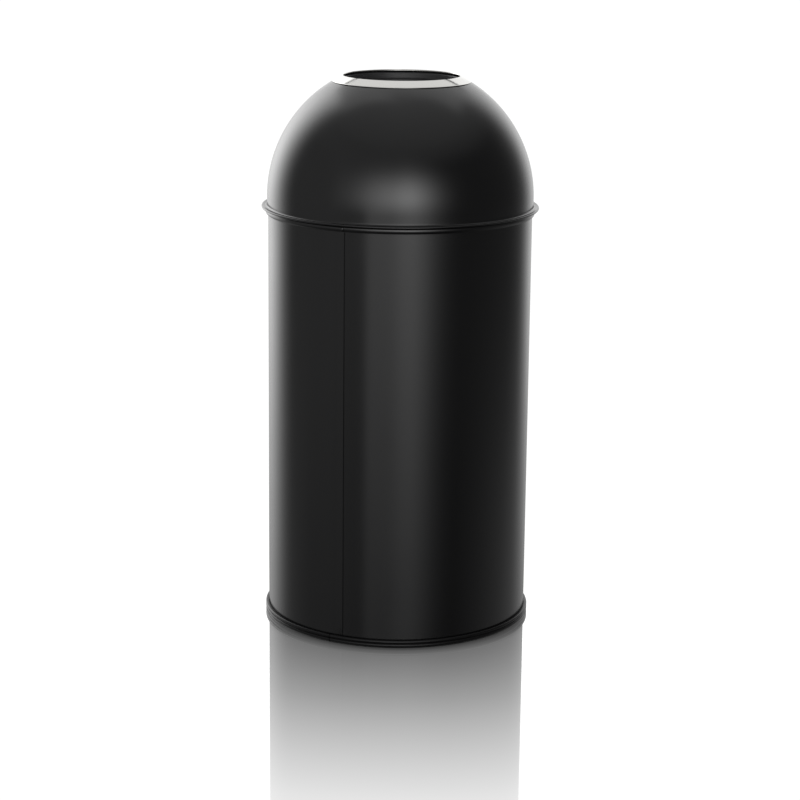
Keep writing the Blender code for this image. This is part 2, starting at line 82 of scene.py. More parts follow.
GRIP_RADIUS = 6.0 * MM
RIVET_RADIUS = 1.9 * MM
PRESSED_RING = 1.6 * MM  # height of the ring pressed into a floor, and of a bead round the bucket
UNEVENNESS = 0.05 * MM  # of rolled sheet
RIM_OVERLAP = 0.8 * MM  # how far the rim's roll bulges before the seam
RIM_LUMP = 0.8 * MM  # the lump that it ends in
ON_FACE = 0.01 * MM  # a point this near to a face lies on it

# ---- fineness of the surfaces ----
TURN_STEPS = 320  # steps round the large turned pieces
SMALL_STEPS = 64  # steps round the small ones
SHARP_ANGLE = 38.0  # degrees between faces above which an edge stays crisp


def turned_radius(node):
    """The radius that a large CAD piece was turned to: its box reaches only to the flats of its facets."""
    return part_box(node)[1].x / cos(pi / CAD_FACETS)


# ---- places read from the frame ----
RIM_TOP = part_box("body_shell")[1].z
RIM_REACH = turned_radius("body_shell")
BODY_RADIUS = turned_radius("base_pan") + GAP + BODY_GAUGE
SHELL_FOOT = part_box("body_shell")[0].z
DOME_RADIUS = turned_radius("locating_band") + GAP + DOME_GAUGE
FLANGE_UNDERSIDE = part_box("dome_shell")[0].z
FLANGE_RADIUS = turned_radius("dome_shell")
TRIM_SPHERE = DOME_RADIUS + GAP + TRIM_GAUGE
TRIM_OUTER = turned_radius("trim_ring")
EQUATOR = FLANGE_UNDERSIDE + DOME_SKIRT  # where the dome's sphere meets its straight skirt
MOUTH_RADIUS = TRIM_OUTER - TRIM_WIDTH
GRID_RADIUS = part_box("stub_grid")[1].x / cos(pi / GRID_FACETS)
LINER_RADIUS = turned_radius("liner_base") + GAP + LINER_GAUGE
LINER_REACH = turned_radius("liner_wall")
LINER_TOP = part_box("liner_wall")[1].z
EAR_MIDDLE = (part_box("ear_right")[0].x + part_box("ear_right")[1].x) / 2
PIVOT_HEIGHT = (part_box("bail_wire")[0].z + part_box("bail_wire")[1].z) / 2
BAIL_RADIUS = -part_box("bail_wire")[0].y - WIRE_RADIUS
SEAM_ANGLE = -23.6  # degrees from the front; the side seam's cut edge
JOINT_ANGLE = -29.2  # where the base ring's two ends meet


# ---- outlines: arrays of (distance from the axis, height) ----
def arc(centre_r, centre_z, radius, start, end, steps=12):
    """A circular arc: the centre plus the radius times the cosine and sine of an angle that runs evenly
    from start to end, in degrees, where 0 points away from the axis and 90 up."""
    turn = np.radians(np.linspace(start, end, steps + 1))
    return np.stack([centre_r + radius * np.cos(turn), centre_z + radius * np.sin(turn)], 1)


def sphere_arc(centre_z, radius, start_r, end_r, steps):
    """Part of a circle centred on the axis, between two distances from the axis, above its centre."""
    start, end = (np.degrees(np.arctan2(sqrt(max(radius**2 - r**2, 0.0)), r)) for r in (start_r, end_r))
    return arc(0.0, centre_z, radius, start, end, steps)


def line(start, end, steps=1):
    """Evenly spaced points on a straight line."""
    share = np.linspace(0.0, 1.0, steps + 1)[:, None]
    return np.array(start) * (1 - share) + np.array(end) * share


def joined(*parts):
    """One path from several, without the points that two of them share."""
    path = np.concatenate(parts)
    apart = np.linalg.norm(np.diff(path, axis=0), axis=1) > 1e-7
    return path[np.concatenate([[True], apart])]


def sheet(path, gauge, open_start=False):
    """The closed outline of a bent sheet. Each point of its middle line moves half a gauge to either
    side, square to the line, and the cut edges are half round. With open_start the path begins on the
    axis, uncapped."""
    along = np.gradient(path, axis=0)
    along /= np.linalg.norm(along, axis=1)[:, None]
    side = np.stack([-along[:, 1], along[:, 0]], 1) * gauge / 2
    turn = np.radians(np.linspace(0, 180, 7))[1:-1, None]
    end_cap = path[-1] + side[-1] * np.cos(turn) + along[-1] * gauge / 2 * np.sin(turn)
    start_cap = path[0] - side[0] * np.cos(turn) - along[0] * gauge / 2 * np.sin(turn)
    rounds = [path + side, end_cap, (path - side)[::-1]]
    return np.concatenate(rounds if open_start else rounds + [start_cap])


def oval(centre_r, centre_z, half_width, half_height, start, end, steps):
    """Part of an oval: a round arc, stretched along the two axes."""
    return np.array([centre_r, centre_z]) + arc(0, 0, 1.0, start, end, steps) * [half_width, half_height]


def rolled_rim(wall_middle, top, width, height, gauge):
    """A wall's upper edge rolled outwards round its wire, as the sheet's middle line."""
    half_width, half_height = (width - gauge) / 2, (height - gauge) / 2
    centre = wall_middle + half_width, top - height / 2
    return oval(*centre, half_width, half_height, 180, 180 - ROLL_SWEEP, 30)


# ---- meshes ----
def surface(name, grid, closed_rows, closed_columns, finish, body, *nodes):
    """Makes a piece from a grid of points: each face joins four neighbours, and a closed direction also
    joins the last row or column to the first. Points that meet are merged, which closes the poles."""
    rows, columns = grid.shape[:2]
    row = np.arange(rows if closed_rows else rows - 1)[:, None]
    column = np.arange(columns if closed_columns else columns - 1)[None, :]
    below, right = (row + 1) % rows, (column + 1) % columns
    upper, lower = row * columns, below * columns
    corners = [upper + column, lower + column, lower + right, upper + right]
    faces = np.stack(np.broadcast_arrays(*corners), -1).reshape(-1, 4)
    return piece_from(name, grid.reshape(-1, 3), faces, finish, body, *nodes)


def piece_from(name, points, faces, finish, body, *nodes):
    """Makes a mesh object, smooth but for its crisp edges, that rides on a body and stands for CAD
    nodes."""
    mesh = bpy.data.meshes.new(name)
    mesh.from_pydata(points.tolist(), [], faces.tolist())
    bm = bmesh.new()
    bm.from_mesh(mesh)
    bmesh.ops.remove_doubles(bm, verts=bm.verts, dist=2e-7)
    bmesh.ops.recalc_face_normals(bm, faces=bm.faces)
    bm.to_mesh(mesh)
    bm.free()
    mesh.shade_smooth()
    mesh.set_sharp_from_angle(angle=radians(SHARP_ANGLE))
    piece = bpy.data.objects.new(name, mesh)
    bpy.context.scene.collection.objects.link(piece)
    mesh.materials.append(finish)
    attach(piece, body)
    if nodes:
        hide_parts(*nodes)
    return piece


def swept(outline, turns):
    """An outline carried round the Z axis: angles count from the front, towards +X."""
    r, z = outline[:, 0][None, :], outline[:, 1][None, :]
    t = turns[:, None]
    return np.stack([r * np.sin(t), -r * np.cos(t), z + 0 * t], -1)


def turned(name, outline, finish, body, *nodes, steps=TURN_STEPS, solid=False):
    """A turned piece. A solid one's outline starts and ends on the axis."""
    turns = np.arange(steps) * 2 * pi / steps
    return surface(name, swept(outline, turns), True, not solid, finish, body, *nodes)


def tube(centres, across, up, radii, sides=24):
    """A round section carried along a path: each point's circle lies in the plane of its across and up
    directions, and a radius of nought closes an end."""
    turn = np.linspace(0, 2 * pi, sides, endpoint=False)
    ring = np.cos(turn)[None, :, None] * across[:, None] + np.sin(turn)[None, :, None] * up[:, None]
    return centres[:, None] + ring * radii[:, None, None]


# ---- materials ----
def linear(hex_colour):
    """An sRGB hex colour as linear red, green, blue and alpha."""
    values = [int(hex_colour[i : i + 2], 16) / 255 for i in (1, 3, 5)]
    return (*(v / 12.92 if v <= 0.04045 else ((v + 0.055) / 1.055) ** 2.4 for v in values), 1.0)


def add(tree, kind, inputs=None, **settings):
    """Adds a node, sets its settings, and fills its inputs with values or links."""
    node = tree.nodes.new(kind)
    for name, value in settings.items():
        setattr(node, name, value)
    for key, value in (inputs or {}).items():
        if isinstance(value, bpy.types.NodeSocket):
            tree.links.new(value, node.inputs[key])
        else:
            node.inputs[key].default_value = value
    return node


def new_finish(name, colour, roughness, metallic=0.0, **sockets):
    """A Principled material with the values that are the same all over its surface."""
    material = bpy.data.materials.new(name)
    material.use_nodes = True
    tree = material.node_tree
    shader = tree.nodes["Principled BSDF"]
    shader.inputs["Base Color"].default_value = linear(colour)
    shader.inputs["Roughness"].default_value = roughness
    shader.inputs["Metallic"].default_value = metallic
    for socket, value in sockets.items():
        shader.inputs[socket.replace("_", " ")].default_value = value
    return material, tree, shader


def object_place(tree, stretch=(1.0, 1.0, 1.0)):
    """Object coordinates in metres, stretched along each axis."""
    place = add(tree, "ShaderNodeTexCoord").outputs["Object"]
    return add(tree, "ShaderNodeMapping", {"Vector": place, "Scale": stretch}).outputs["Vector"]


def noise(tree, place, size, detail=2.0, roughness=0.5):
    """Cloudy noise whose lumps are about a given size across, in metres."""
    inputs = {"Vector": place, "Scale": 0.5 / size, "Detail": detail, "Roughness": roughness}
    return add(tree, "ShaderNodeTexNoise", inputs).outputs["Fac"]


def ranged(tree, value, low, high, from_low=0.3, from_high=0.7):
    """Maps a pattern's range onto two values."""
    inputs = {"Value": value, "From Min": from_low, "From Max": from_high, "To Min": low, "To Max": high}
    return add(tree, "ShaderNodeMapRange", inputs).outputs["Result"]


def rough_and_bumpy(tree, shader, gloss, height, distance):
    """Links a roughness pattern and a height pattern, whose full range is a distance in metres."""
    if gloss is not None:
        tree.links.new(gloss, shader.inputs["Roughness"])
    if height is not None:
        bump = add(tree, "ShaderNodeBump", {"Height": height, "Distance": distance, "Strength": 1.0})
        tree.links.new(bump.outputs["Normal"], shader.inputs["Normal"])


def black_powder_coat(name, colour, smoothest, roughest):
    """Polyester powder sprayed on steel and baked, with a faint orange peel that breaks up sharp
    reflections and slight clouds in the gloss where the film is thicker."""
    material, tree, shader = new_finish(name, colour, smoothest, IOR=1.5)
    place = object_place(tree)
    peel = noise(tree, place, 2.2 * MM, 1.0)
    clouds = noise(tree, place, 55 * MM, 2.0)
    rough_and_bumpy(tree, shader, ranged(tree, clouds, smoothest, roughest), peel, 0.005 * MM)
    return material


def polished_stainless():
    """Stainless sheet, spun and buffed: a bright mirror with very fine lines round it from the buffing
    wheel."""
    material, tree, shader = new_finish("polished_stainless_steel", "#c6c5c2", 0.1, 1.0)
    place = add(tree, "ShaderNodeTexCoord").outputs["Object"]
    away = add(tree, "ShaderNodeVectorMath", {0: place, 1: (1.0, 1.0, 0.0)}, operation="MULTIPLY")
    length = add(tree, "ShaderNodeVectorMath", {0: away.outputs["Vector"]}, operation="LENGTH")
    across = add(tree, "ShaderNodeCombineXYZ", {"X": length.outputs["Value"]}).outputs["Vector"]
    lines = noise(tree, across, 0.35 * MM, 3.0, 0.7)
    smears = noise(tree, place, 22 * MM, 2.0)
    rough_and_bumpy(tree, shader, ranged(tree, smears, 0.08, 0.14), lines, 0.0008 * MM)
    return material


def satin_stainless():
    """Stainless plate left with its grained mill finish: soft, streaked reflections along the grain."""
    material, tree, shader = new_finish("satin_stainless_steel", "#c9c9c7", 0.34, 1.0)
    grain = noise(tree, object_place(tree, (1.0, 0.03, 1.0)), 0.5 * MM, 3.0, 0.7)
    rough_and_bumpy(tree, shader, ranged(tree, grain, 0.28, 0.42), grain, 0.002 * MM)
    return material


def galvanised_steel():
    """Hot-dip galvanised sheet: zinc crystals about 9 mm across, each with its own tone and gloss."""
    material, tree, shader = new_finish("galvanised_steel", "#a9adb0", 0.42, 1.0)
    place = object_place(tree)
    cells = add(tree, "ShaderNodeTexVoronoi", {"Vector": place, "Scale": 1 / (9 * MM)})
    tone = add(tree, "ShaderNodeSeparateColor", {"Color": cells.outputs["Color"]})
    frost = noise(tree, place, 1.6 * MM, 3.0, 0.6)
    # The Mix node's sockets 6 and 7 and its output 2 are the ones that carry colours.
    inputs = {0: tone.outputs["Red"], 6: linear("#8f9498"), 7: linear("#bcc0c2")}
    mixed = add(tree, "ShaderNodeMix", inputs, data_type="RGBA")
    tree.links.new(mixed.outputs[2], shader.inputs["Base Color"])
    gloss = ranged(tree, tone.outputs["Green"], 0.3, 0.52, 0.0, 1.0)
    rough_and_bumpy(tree, shader, gloss, frost, 0.012 * MM)
    return material


def zinc_plated_wire():
    """Drawn steel wire, bright zinc plated: smooth with slight drawing marks and duller patches."""
    material, tree, shader = new_finish("zinc_plated_steel", "#b4b7b9", 0.3, 1.0)
    place = object_place(tree)
    patches = ranged(tree, noise(tree, place, 6 * MM), 0.24, 0.4)
    marks = noise(tree, place, 0.8 * MM)
    rough_and_bumpy(tree, shader, patches, marks, 0.003 * MM)
    return material


def black_polyethylene():
    """Extruded and moulded polyethylene: a waxy black that mirrors less than the paint does."""
    material, tree, shader = new_finish(
        "black_polyethylene", "#0a0a0b", 0.3, IOR=1.51, Specular_IOR_Level=0.22
    )
    place = object_place(tree)
    wax = noise(tree, place, 12 * MM, 2.0)
    grain = noise(tree, place, 0.9 * MM, 2.0)
    rough_and_bumpy(tree, shader, ranged(tree, wax, 0.3, 0.38), grain, 0.006 * MM)
    return material


PAINT = black_powder_coat("satin_black_powder_coat", "#0a0a0b", 0.19, 0.22)
# The neck's grey is painted light: the neck is really as black as the dome, and the lighter grey makes the
# shaded inside of the mouth look lit. Only the higher roughness is its own.
THROAT_PAINTED_LIGHT = black_powder_coat("dull_powder_coat_with_painted_light", "#2e2e2f", 0.42, 0.5)
POLISHED = polished_stainless()
SATIN = satin_stainless()
GALVANISED = galvanised_steel()
ZINC = zinc_plated_wire()
PLASTIC = black_polyethylene()


# ---- body ----
SEAM = (  # angle in degrees from the cut edge, and how far the outer face stands out there
    (-3.2, 0.0),
    (-0.25, 0.72 * MM),
    (-0.06, 0.8 * MM),
    (0.0, 0.5 * MM),
    (0.03, -0.4 * MM),
    (0.2, -0.4 * MM),
    (0.3, 0.0),
)


def seam_turns(seam_angle, steps=TURN_STEPS):
    """Evenly spaced angles round the axis with extra ones where the seam changes, in radians."""
    even = np.arange(steps) * 360 / steps - 180
    marks = [angle for angle, _ in SEAM]
    close = seam_angle + np.concatenate([marks, np.linspace(-3.0, -0.4, 8), [-0.15, 0.12]])
    return np.radians(np.unique(np.round(np.concatenate([even, close]), 4)))


def seam_lift(turns, seam_angle):
    """How far a lap seam's outer sheet stands out at each angle: a slow ramp, the cut edge, and a fine
    groove."""
    angles, lifts = zip(*SEAM)
    return np.interp(np.degrees(turns) - seam_angle, angles, lifts)


def moved_outwards(grid, amount):
    """Moves each point away from the Z axis by its own amount."""
    radius = np.hypot(grid[..., 0], grid[..., 1])
    grid[..., :2] *= (1 + amount / radius)[..., None]
    return grid


def make_body_shell():
    """The rolled cylinder. Its outer face is a cylinder plus the seam's lift, plus a very slight
    unevenness that rolled sheet has. The rim's roll bulges where its sheet overlaps, and ends in a small
    lump at the seam."""
    middle = BODY_RADIUS - BODY_GAUGE / 2
    width = RIM_REACH - BODY_RADIUS + BODY_GAUGE
    wall = line((middle, SHELL_FOOT), (middle, RIM_TOP - RIM_ROLL_HEIGHT / 2), 80)
    outline = sheet(joined(wall, rolled_rim(middle, RIM_TOP, width, RIM_ROLL_HEIGHT, BODY_GAUGE)), BODY_GAUGE)
    turns = seam_turns(SEAM_ANGLE)
    grid = swept(outline, turns)

    height = outline[:, 1]
    low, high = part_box("base_ring")[1].z + GAP, RIM_TOP - RIM_ROLL_HEIGHT
    fade = 2 * MM  # the seam and the unevenness fade out over this height
    window = np.clip((height - low) / fade, 0, 1) * np.clip((high - height) / fade, 0, 1)
    outer = np.abs(outline[:, 0] - BODY_RADIUS) < ON_FACE
    lift = seam_lift(turns, SEAM_ANGLE)[:, None] * (window * outer)[None, :]
    turn = turns[:, None]
    waves = np.sin(2 * turn + height / 0.17) * np.sin(height / 0.11 + turn)
    waves = waves + 0.6 * np.sin(3 * turn - height / 0.23)
    on_wall = (outline[:, 0] < BODY_RADIUS + ON_FACE) & (height < high)
    grid = moved_outwards(grid, lift + UNEVENNESS * waves * (window * on_wall)[None, :])

    outwards = np.clip((outline[:, 0] - BODY_RADIUS) / (RIM_REACH - BODY_RADIUS), 0, 1) * (height > high)
    past = np.degrees(turns) - SEAM_ANGLE
    overlap = np.interp(past, [-70, -0.9, -0.1, 0.1], [0.0, RIM_OVERLAP, RIM_OVERLAP, 0.0])
    lump = RIM_LUMP * np.exp(-(((past + 0.45) / 0.35) ** 2))
    grid = moved_outwards(grid, (overlap + lump)[:, None] * outwards[None, :])
    surface("body_sheet", grid, True, True, PAINT, "housing", "body_shell")


def make_rim_wires():
    """The wires inside the two rolled rims. The body's is flat strip with a round face."""
    for name, node, body, wall, gauge, reach in (
        ("body_rim_wire", "rim_wire", "housing", BODY_RADIUS, BODY_GAUGE, RIM_REACH),
        ("bucket_rim_wire", "liner_rim_wire", "liner", LINER_RADIUS, LINER_GAUGE, LINER_REACH),
    ):
        low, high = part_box(node)
        centre = reach - (reach - wall + gauge) / 2
        half_width, half_height = turned_radius(node) - centre, (high.z - low.z) / 2
        section = oval(centre, (low.z + high.z) / 2, half_width, half_height, 0, 345, 23)
        turned(name, section, ZINC, body, node, steps=192)


def make_base_ring():
    """The plastic ring that the body's edge is pressed into. Two half-round ridges run round it, and its
    ends meet in a butt joint with a hairline gap."""
    low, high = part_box("base_ring")
    reach = turned_radius("base_ring")
    slot_outer, slot_inner = BODY_RADIUS + 0.1 * MM, BODY_RADIUS - 2 * BODY_GAUGE - 2 * GAP
    sole, inner_height, wall, ridge = 2.2 * MM, 8.0 * MM, 2.6 * MM, 1.7 * MM
    root = reach - ridge  # where the ridges spring from
    ridges = []
    for start, end in ((1.3 * MM, 6.1 * MM), (6.3 * MM, high.z)):
        turn = np.radians(np.linspace(-84, 84, 15))
        middle, half = (start + end) / 2, (end - start) / 2
        ridges.append(np.stack([root + ridge * np.cos(turn), middle + half * np.sin(turn)], 1))
    outline = np.concatenate(
        [
            [(slot_inner - wall, low.z), (root - 0.6 * MM, low.z), (root - 0.3 * MM, 0.5 * MM)],
            *ridges,
            arc(slot_outer + 0.3 * MM, high.z - 0.3 * MM, 0.3 * MM, 90, 180, 4),
            [(slot_outer, sole), (slot_inner, sole)],
            arc(slot_inner - 0.4 * MM, inner_height - 0.4 * MM, 0.4 * MM, 0, 90, 3),
            arc(slot_inner - wall + 0.4 * MM, inner_height - 0.4 * MM, 0.4 * MM, 90, 180, 3),
        ]
    )
    half_gap = 0.15  # degrees
    turns = np.radians(np.linspace(JOINT_ANGLE + half_gap, JOINT_ANGLE + 360 - half_gap, TURN_STEPS + 1))
    swell = 0.4 * MM * np.exp(-(((np.abs(np.degrees(turns) - JOINT_ANGLE - 180) - 180) / 0.7) ** 2))
    grid = moved_outwards(swept(outline, turns), swell[:, None] * (outline[:, 0] > slot_outer)[None, :])
    surface("foot_ring", grid, False, True, PLASTIC, "housing", "base_ring")


def make_base_pan():
    """The body's floor: a pan with a turned-down flange and one pressed ring that stiffens it."""
    flange = turned_radius("base_pan") - BODY_GAUGE / 2
    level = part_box("base_pan")[1].z - BODY_GAUGE / 2
    flat = line((0.0, level), (flange - PAN_BEND_RADIUS, level), 120)
    flat[:, 1] += PRESSED_RING * np.exp(-(((flat[:, 0] / flange - 0.66) / 0.03) ** 4))
    bend = arc(flange - PAN_BEND_RADIUS, level - PAN_BEND_RADIUS, PAN_BEND_RADIUS, 90, 0, 8)
    foot = line(bend[-1], (flange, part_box("base_pan")[0].z + BODY_GAUGE / 2))
    outline = sheet(joined(flat, bend, foot), BODY_GAUGE, open_start=True)
    outline[[0, -1], 0] = 0.0
    turned("floor_pan", outline, PAINT, "housing", "base_pan", solid=True)


# ---- lid ----
def make_dome():
    """The spun dome: part of a sphere over a straight skirt, turned out into a flange over a soft bend. The
    flange's edge is folded back under it, and its flat underside rests on the body's rim."""
    wall = DOME_RADIUS - DOME_GAUGE / 2
    fold = FLANGE_HEM_RADIUS - DOME_GAUGE / 2
    top = FLANGE_UNDERSIDE + FLANGE_HEM_RADIUS + fold
    plate = top - FLANGE_PINCH
    crown = sphere_arc(EQUATOR, wall, MOUTH_RADIUS + TRIM_GAUGE + 2 * GAP, wall, 72)
    bend = arc(wall + FLANGE_BEND_RADIUS, plate + FLANGE_BEND_RADIUS, FLANGE_BEND_RADIUS, 180, 270, 16)
    edge = arc(FLANGE_RADIUS - FLANGE_HEM_RADIUS, top - fold, fold, 90, -90, 20)
    share = np.linspace(0, 1, 10)[:, None]
    rise = bend[-1] * (1 - share) + edge[0] * share
    rise[:, 1] = plate + FLANGE_PINCH * (0.5 - 0.5 * np.cos(pi * share[:, 0]))
    skirt = line(crown[-1], bend[0], 4)
    back = line(edge[-1], (wall, edge[-1][1]), 6)
    outline = sheet(joined(crown, skirt, bend, rise, edge, back), DOME_GAUGE)
    turned("dome", outline, PAINT, "lid", "dome_shell")


def make_locating_band():
    """A steel band inside the skirt. Its lower half is joggled inwards and drops into the body."""
    low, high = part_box("locating_band")
    gauge = BODY_GAUGE
    upper = turned_radius("locating_band") - gauge / 2
    lower = BODY_RADIUS - BODY_GAUGE - LOCATING_CLEARANCE - gauge / 2
    joggle = FLANGE_UNDERSIDE + LOCATING_JOGGLE
    path = joined(
        line((upper, high.z - gauge / 2), (upper, joggle + upper - lower), 4),
        line((upper, joggle + upper - lower), (lower, joggle), 4),
        line((lower, joggle), (lower, low.z + gauge / 2), 6),
    )
    turned("lid_band", sheet(path, gauge), PAINT, "lid", "locating_band")


def make_trim_ring():
    """The ring round the mouth. It follows the dome's sphere, rolls over a small radius at the mouth, and
    turns down inside it."""
    middle = TRIM_SPHERE - TRIM_GAUGE / 2
    inner = MOUTH_RADIUS + TRIM_GAUGE / 2
    roll = 0.9 * MM
    face = sphere_arc(EQUATOR, middle, TRIM_OUTER - TRIM_GAUGE / 2, inner + roll * 0.55, 16)
    lip = face[-1][1] - roll
    over = arc(inner + roll, lip, roll, 116, 180, 6)
    down = line(over[-1], (inner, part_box("trim_ring")[1].z - TRIM_DROP), 3)
    turned("mouth_ring", sheet(joined(face, over[1:], down), TRIM_GAUGE), POLISHED, "lid", "trim_ring")


def make_throat():
    """The drawn neck below the mouth: a welded flange under the dome, a straight draft with a small
    joggle that widens it and fades out downwards, and a turned-in ledge."""
    under = DOME_RADIUS - DOME_GAUGE - GAP - THROAT_GAUGE / 2
    neck_top, neck_foot = MOUTH_RADIUS + THROAT_GAUGE / 2, GRID_RADIUS + GRID_CLEARANCE + THROAT_GAUGE / 2
    ledge, flange_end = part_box("throat")[0].z + THROAT_GAUGE / 2, turned_radius("throat")
    bend_radius = THROAT_BEND_RADIUS
    flange = sphere_arc(EQUATOR, under, flange_end - THROAT_GAUGE / 2, neck_top + 1.1 * bend_radius, 10)
    bend = arc(neck_top + bend_radius, flange[-1][1] - 1.2 * bend_radius, bend_radius, 100, 180, 8)
    neck = line(bend[-1], (neck_foot, ledge + LEDGE_BEND_RADIUS), 60)
    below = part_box("trim_ring")[1].z - neck[:, 1]
    joggle = np.clip((below - 12.5 * MM) / (2 * MM), 0, 1)
    fade = 1 - np.clip((below - 15 * MM) / (20 * MM), 0, 1)
    neck[:, 0] += 0.7 * MM * joggle * fade
    corner = arc(neck_foot - LEDGE_BEND_RADIUS, ledge + LEDGE_BEND_RADIUS, LEDGE_BEND_RADIUS, 0, -90, 6)
    inwards = line(corner[-1], (neck_foot - LEDGE_WIDTH, ledge), 4)
    outline = sheet(joined(flange, bend, neck, corner, inwards), THROAT_GAUGE)
    # The neck's paint is painted light: a grey lighter than its real black, so the shaded mouth looks lit.
    turned("neck", outline, THROAT_PAINTED_LIGHT, "lid", "throat")


# ---- stub grid ----
def cell_rings(hole, place, edge, steps):
    """Rings of points between a round hole and its cell's edge: each edge point is joined to the hole's
    point in the same direction from its centre, with the points closer together near the hole."""
    away = edge - place
    rim = place + away / np.linalg.norm(away, axis=-1, keepdims=True) * hole
    share = (np.linspace(0, 1, steps + 1) ** 1.5)[:, None, None]
    return rim[None] * (1 - share) + edge[None] * share


def polar(r, degrees):
    """The level place at a distance from the axis and an angle from the front, towards +X."""
    turn = np.radians(degrees)
    return np.stack([r * np.sin(turn), -r * np.cos(turn)], -1)


def make_stub_grid():
    """A round perforated plate, made as its middle layer and given its thickness by a modifier. Plain
    rings of cells fill the centre and the rim. Between them, each hole has its own cell of a ring. The
    edges of the holes are pressed down slightly, which stiffens the plate."""
    hole, level = 6.5 * MM, (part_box("stub_grid")[0].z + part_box("stub_grid")[1].z) / 2
    centre, between, outside, step = 17 * MM, 42 * MM, 66 * MM, 2.5
    points, faces = [], []

    def add_cells(grid, closed):
        count, (rings, columns) = sum(map(len, points)), grid.shape[:2]
        ring, column = np.arange(rings - 1)[:, None], np.arange(columns if closed else columns - 1)[None, :]
        after = (column + 1) % columns
        corners = [ring * columns + column, ring * columns + after, (ring + 1) * columns + after]
        corners.append((ring + 1) * columns + column)
        faces.append(np.stack(np.broadcast_arrays(*corners), -1).reshape(-1, 4) + count)
        points.append(grid.reshape(-1, 2))

    around = np.arange(0, 360, step)
    add_cells(np.stack([polar(r, around) for r in np.linspace(WIRE_RADIUS + GAP, centre, 6)]), True)
    add_cells(np.stack([polar(r, around) for r in np.linspace(outside, GRID_RADIUS, 4)]), True)
    for inner, outer, pitch, count in ((centre, between, 30 * MM, 6), (between, outside, 54 * MM, 12)):
        half = 180 / count
        angles = np.arange(-half, half + step / 2, step)
        side = np.linspace(inner, outer, 13)[1:-1]
        for middle in np.arange(count) * 360 / count:
            edge = [polar(inner, middle + angles), polar(side, middle + half)]
            edge += [polar(outer, middle + angles[::-1]), polar(side[::-1], middle - half)]
            add_cells(cell_rings(hole, polar(pitch, middle), np.concatenate(edge), 7), True)

    flat = np.concatenate(points)
    centres = np.concatenate([polar(30 * MM, np.arange(0, 360, 60)), polar(54 * MM, np.arange(0, 360, 30))])
    from_hole = np.linalg.norm(flat[:, None] - centres[None], axis=-1).min(1) - hole
    height = level - 0.45 * MM * np.exp(-((from_hole / (1.3 * MM)) ** 2))
    plate = np.column_stack([flat, height])
    piece = piece_from("stub_plate", plate, np.concatenate(faces), SATIN, "grid", "stub_grid")
    thicken(piece, GRID_GAUGE, 0.25 * MM)


def thicken(piece, gauge, bevel):
    """Gives a middle layer its thickness, half to each side, and breaks its cut edges."""
    solid = piece.modifiers.new("gauge", "SOLIDIFY")
    solid.thickness = gauge
    solid.offset = 0.0
    edges = piece.modifiers.new("edges", "BEVEL")
    edges.width = bevel
    edges.segments = 2
    edges.limit_method = "ANGLE"
    edges.angle_limit = radians(50)


def bow(start, end, sag, steps=10):
    """A line that bows sideways by sag at its middle: a parabola."""
    share = np.linspace(0, 1, steps + 1)[:, None]
    start, end = np.array(start), np.array(end)
    along = (end - start) / np.linalg.norm(end - start)
    return start + (end - start) * share + np.array([-along[1], along[0]]) * 4 * sag * share * (1 - share)


def make_grid_pull():
    """A turned knob with a waist and a domed head. Its stem goes down through the plate, with a thread
    cut in it that winds once round for each pitch of height."""
    low, high = (corner.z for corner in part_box("grid_pull"))
    seat, stem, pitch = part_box("stub_grid")[1].z + GAP, WIRE_RADIUS, 0.8 * MM
    head = high - 5.5 * MM
    outline = joined(
        line((0, low), (stem - 0.4 * MM, low), 2),
        line((stem, low + 0.4 * MM), (stem, seat), 48),
        arc(5.6 * MM, seat + 0.4 * MM, 0.4 * MM, -90, 0, 5),
        bow((6.0 * MM, seat + 0.8 * MM), (7.5 * MM, head), 2.2 * MM, 20),
        arc(5.6 * MM, head + 1.2 * MM, 2.3 * MM, -28, 62, 14),
        bow((5.8 * MM, high - 0.9 * MM), (0, high), -0.35 * MM, 10),
    )
    turns = np.arange(SMALL_STEPS) * 2 * pi / SMALL_STEPS
    grid = swept(outline, turns)
    wave = 0.5 - 0.5 * np.cos(2 * pi * outline[None, :, 1] / pitch - turns[:, None])
    on_stem = (np.abs(outline[:, 0] - stem) < 1e-6) & (outline[:, 1] < seat - GRID_GAUGE)
    cut = moved_outwards(grid[:, 1:-1], (-0.35 * MM * wave * on_stem)[:, 1:-1])
    grid[:, 1:-1] = cut
    surface("stub_plate_pull", grid, True, False, SATIN, "grid", "grid_pull")


def make_pull_nut():
    """A hexagon nut. Its outer radius is the flat's distance over the cosine of the angle from the flat's
    middle, limited near the two faces by a cone, which chamfers the corners."""
    low, high = (corner.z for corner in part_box("pull_nut"))
    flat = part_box("pull_nut")[1].x
    turns = np.arange(96) * 2 * pi / 96
    hexagon = flat / np.cos(turns % (pi / 3) - pi / 6)
    depth = np.concatenate([np.linspace(0, 0.5, 7), [0.75, 1.0]]) * (high - low) / 2
    heights = np.concatenate([high - depth, low + depth[-2::-1]])
    cone = flat * 0.97 + 1.7 * np.minimum(high - heights, heights - low)
    outer = np.minimum(hexagon[:, None], cone[None, :])
    bore = np.full((len(turns), 2), WIRE_RADIUS + GAP)
    radius = np.concatenate([bore, outer], 1)
    z = np.broadcast_to(np.concatenate([[low, high], heights]), radius.shape)
    t = turns[:, None]
    grid = np.stack([radius * np.sin(t), -radius * np.cos(t), z], -1)
    surface("stub_plate_nut", grid, True, True, SATIN, "grid", "pull_nut")


